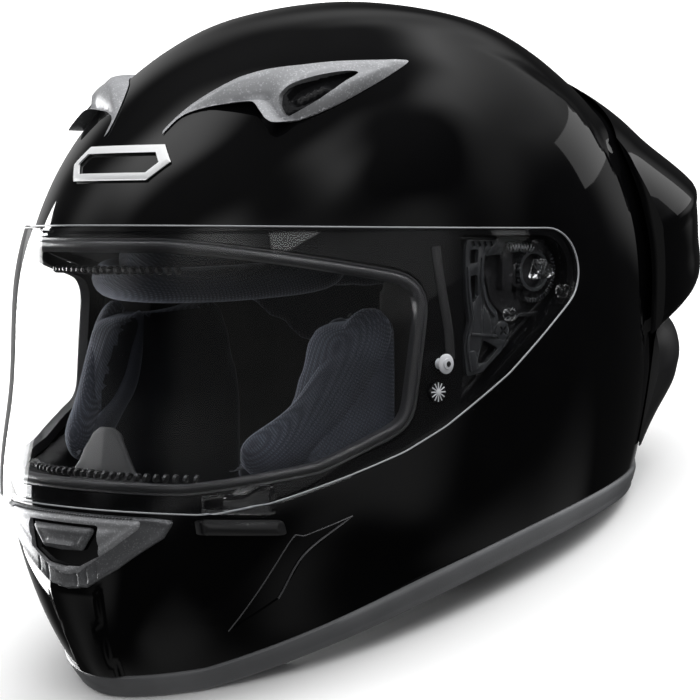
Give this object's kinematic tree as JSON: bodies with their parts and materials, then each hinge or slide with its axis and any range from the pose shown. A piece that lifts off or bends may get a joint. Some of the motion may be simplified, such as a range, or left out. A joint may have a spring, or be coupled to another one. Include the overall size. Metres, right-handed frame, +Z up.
{
  "type": "full-face motorcycle helmet",
  "caption": "Full-face helmet with a clear visor on side pivots, sliding brow and chin vents, a rear spoiler, padded lining and a D-ring chin strap.",
  "frame": {"origin": "middle of the footprint on the plane that the helmet rests on", "axes": "-Y is the front, +X is the wearer's left, +Z is up with the helmet resting on its base edge"},
  "size_m": [0.2588, 0.3692, 0.2501],
  "materials": {
    "shell_gloss": "gloss",
    "vent_gunmetal": "satin",
    "trim_grey": "matte",
    "seal_rubber": "matte",
    "foam": "matte",
    "comfort_cloth": "matte",
    "visor_clear": "polished",
    "mechanism_black": "satin",
    "steel": "satin",
    "webbing": "matte"
  },
  "bodies": {
    "shell": {"outer_shell": "shell_gloss", "base_trim": "trim_grey", "eyeport_gasket": "seal_rubber", "eps_liner": "foam", "chin_bar_liner": "foam", "crown_pad": "comfort_cloth", "cheek_pad_left": "comfort_cloth", "cheek_pad_right": "comfort_cloth", "neck_roll": "comfort_cloth", "chin_curtain": "comfort_cloth", "breath_guard": "seal_rubber", "visor_base_plate_left": "mechanism_black", "visor_base_plate_right": "mechanism_black", "detent_ring_left": "mechanism_black", "detent_ring_right": "mechanism_black", "lever_spring_left": "steel", "lever_spring_right": "steel", "plate_screw_upper_left": "steel", "plate_screw_upper_right": "steel", "plate_screw_lower_left": "steel", "plate_screw_lower_right": "steel", "visor_latch": "shell_gloss", "brow_vent_left": "vent_gunmetal", "brow_vent_right": "vent_gunmetal", "chin_vent_body": "vent_gunmetal", "chin_vent_mesh": "seal_rubber", "rear_spoiler": "shell_gloss", "rear_exhaust_cover": "vent_gunmetal", "brow_badge": "vent_gunmetal", "chin_strap_left": "webbing", "chin_strap_right": "webbing", "strap_anchor_left": "steel", "strap_anchor_right": "steel"},
    "visor": {"visor": "visor_clear", "visor_lift_tab": "visor_clear", "tear_off_post_left": "steel", "tear_off_post_right": "steel", "antifog_pin_left": "visor_clear", "antifog_pin_right": "visor_clear"},
    "brow_slider_left": {"brow_vent_slider_left": "shell_gloss"},
    "brow_slider_right": {"brow_vent_slider_right": "shell_gloss"},
    "chin_shutter": {"chin_vent_shutter": "vent_gunmetal"},
    "release_lever_left": {"visor_release_lever_left": "mechanism_black"},
    "release_lever_right": {"visor_release_lever_right": "mechanism_black"},
    "ring_upper": {"d_ring_upper": "steel"},
    "ring_lower": {"d_ring_lower": "steel"}
  },
  "joints": [
    {"name": "visor_hinge", "type": "hinge", "parent": "shell", "child": "visor", "pos_m": [0, 0.007, 0.1285], "axis": [-1, 0, 0], "range_deg": [0, 55]},
    {"name": "brow_vent_slide_left", "type": "slide", "parent": "shell", "child": "brow_slider_left", "axis": [0.3378, 0.9346, 0.1118], "range_m": [0, 0.0057]},
    {"name": "brow_vent_slide_right", "type": "slide", "parent": "shell", "child": "brow_slider_right", "axis": [-0.3378, 0.9346, 0.1118], "range_m": [0, 0.0057]},
    {"name": "chin_shutter_slide", "type": "slide", "parent": "shell", "child": "chin_shutter", "axis": [0, -0.231, -0.9729], "range_m": [0, 0.004]},
    {"name": "release_lever_left_turn", "type": "hinge", "parent": "shell", "child": "release_lever_left", "pos_m": [0.118, -0.01752, 0.11034], "axis": [1, 0, 0], "range_deg": [0, 4], "stiffness_Nm_per_rad": 0.05},
    {"name": "release_lever_right_turn", "type": "hinge", "parent": "shell", "child": "release_lever_right", "pos_m": [-0.118, -0.01752, 0.11034], "axis": [1, 0, 0], "range_deg": [0, 4], "stiffness_Nm_per_rad": 0.05},
    {"name": "d_ring_upper_turn", "type": "hinge", "parent": "shell", "child": "ring_upper", "pos_m": [-0.05, -0.04399, 0.019], "axis": [0, -1, 0], "range_deg": [0, 60]},
    {"name": "d_ring_lower_turn", "type": "hinge", "parent": "shell", "child": "ring_lower", "pos_m": [-0.05, -0.04399, 0.0151], "axis": [0, -1, 0], "range_deg": [0, 22]}
  ]
}
